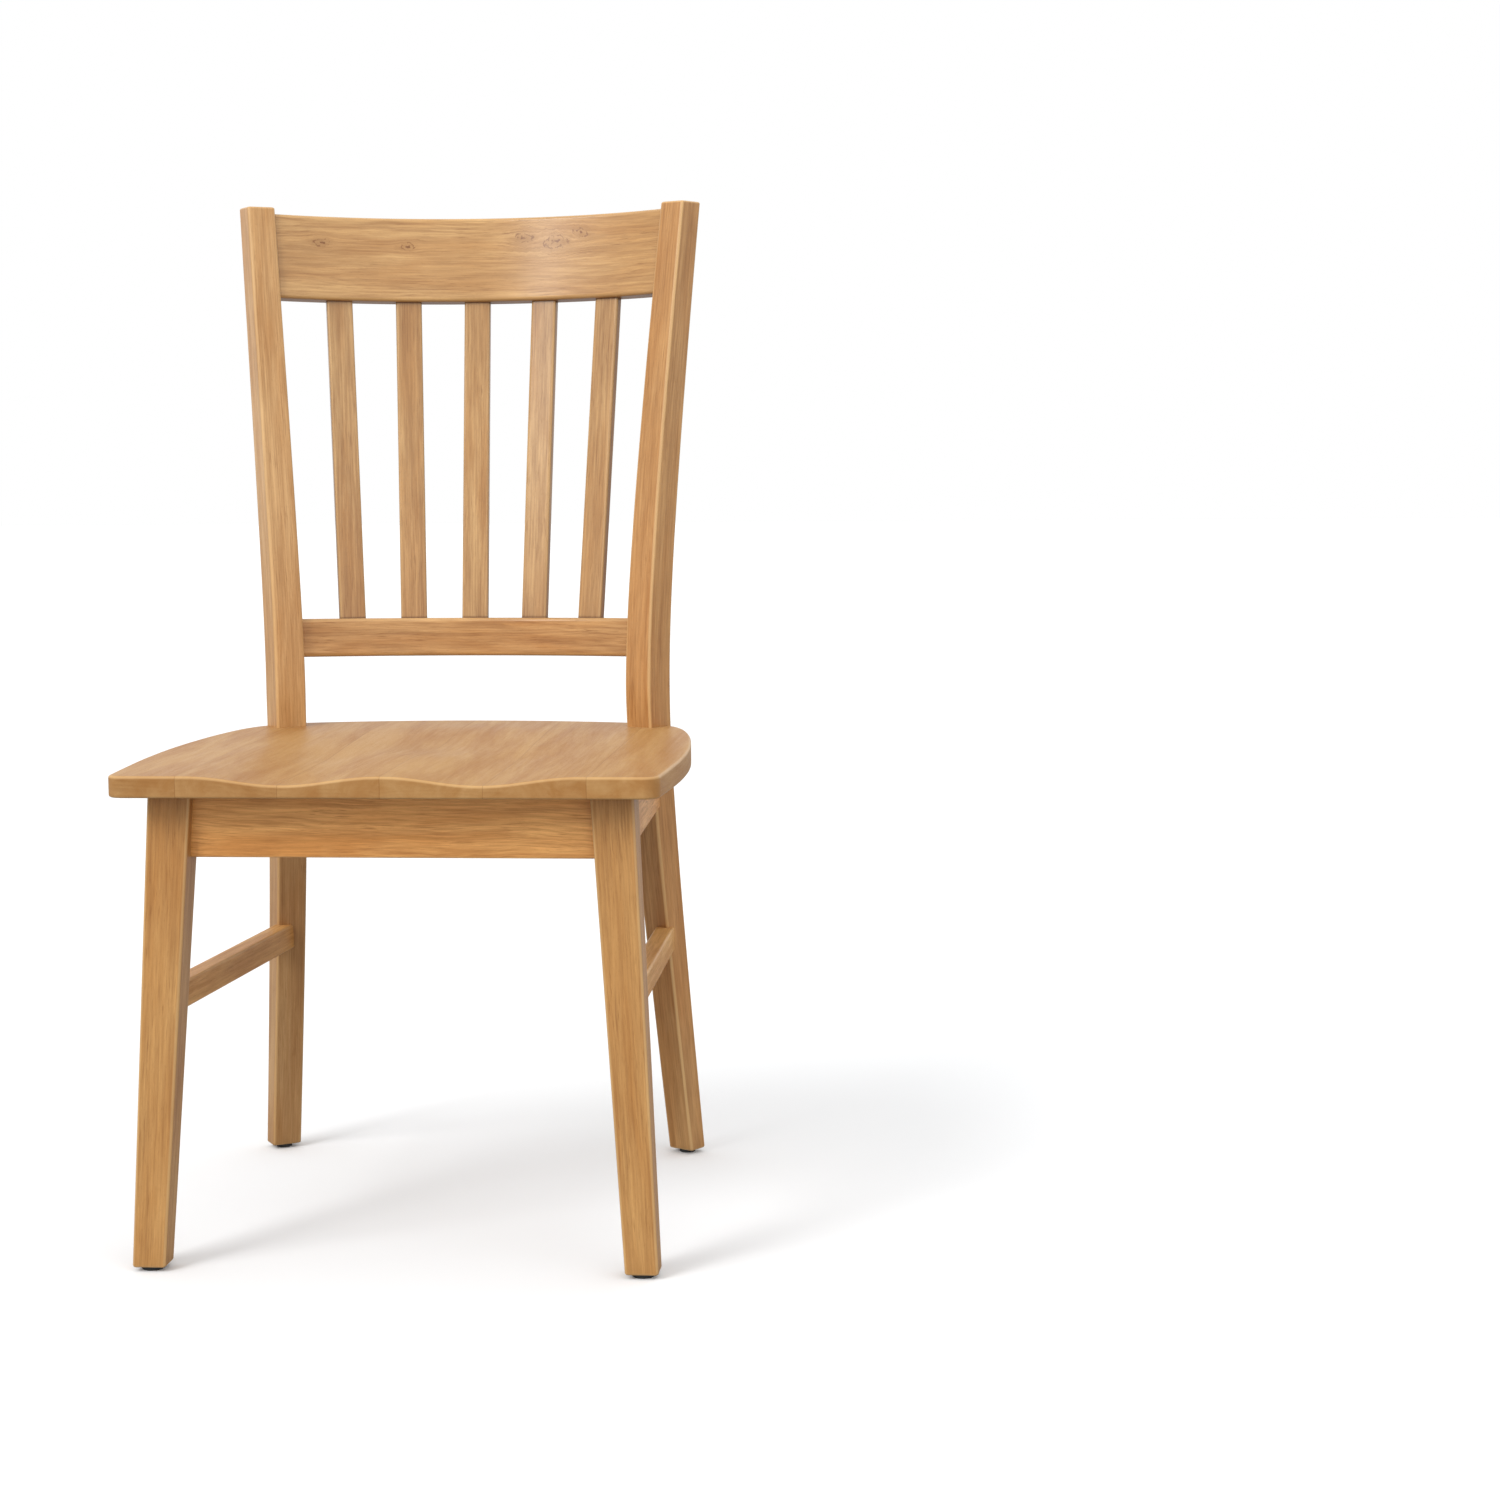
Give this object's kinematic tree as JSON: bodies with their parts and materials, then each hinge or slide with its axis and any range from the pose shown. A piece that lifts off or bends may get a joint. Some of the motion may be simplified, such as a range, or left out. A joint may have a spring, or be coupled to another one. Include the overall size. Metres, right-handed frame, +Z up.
{
  "type": "dining chair",
  "caption": "Slat-back side chair in solid wood with a scooped seat, tapered front legs, curved rear posts and rails, side stretchers and floor glides.",
  "frame": {"origin": "centre of the bounding box on the floor, under the seat, at the underside of the glides", "axes": "+Z up, the longest way; the front of the seat faces -Y and the back is on +Y; +X is to the right of someone who stands in front and looks at the chair"},
  "size_m": [0.513, 0.5692, 1.008],
  "materials": {
    "oak_frame": "satin clear lacquer over honey-coloured oak",
    "oak_seat": "satin clear lacquer over honey-coloured oak boards",
    "block_wood": "sawn, unfinished",
    "screw_steel": "zinc plated",
    "glide_pad": "matt black"
  },
  "bodies": {
    "root": {"crest_rail": "oak_frame", "front_apron": "oak_frame", "front_block_screw_cross_left": "screw_steel", "front_block_screw_cross_right": "screw_steel", "front_block_screw_side_left": "screw_steel", "front_block_screw_side_right": "screw_steel", "front_corner_block_left": "block_wood", "front_corner_block_right": "block_wood", "front_glide_left": "glide_pad", "front_glide_right": "glide_pad", "front_leg_left": "oak_frame", "front_leg_right": "oak_frame", "front_seat_screw_left": "screw_steel", "front_seat_screw_right": "screw_steel", "lower_back_rail": "oak_frame", "rear_apron": "oak_frame", "rear_block_screw_cross_left": "screw_steel", "rear_block_screw_cross_right": "screw_steel", "rear_block_screw_side_left": "screw_steel", "rear_block_screw_side_right": "screw_steel", "rear_corner_block_left": "block_wood", "rear_corner_block_right": "block_wood", "rear_glide_left": "glide_pad", "rear_glide_right": "glide_pad", "rear_post_left": "oak_frame", "rear_post_right": "oak_frame", "rear_seat_screw_left": "screw_steel", "rear_seat_screw_right": "screw_steel", "seat_board_1": "oak_seat", "seat_board_2": "oak_seat", "seat_board_3": "oak_seat", "seat_board_4": "oak_seat", "seat_board_5": "oak_seat", "seat_board_6": "oak_seat", "side_apron_left": "oak_frame", "side_apron_right": "oak_frame", "side_stretcher_left": "oak_frame", "side_stretcher_right": "oak_frame", "slat_1": "oak_frame", "slat_2": "oak_frame", "slat_3": "oak_frame", "slat_4": "oak_frame", "slat_5": "oak_frame"}
  },
  "joints": []
}
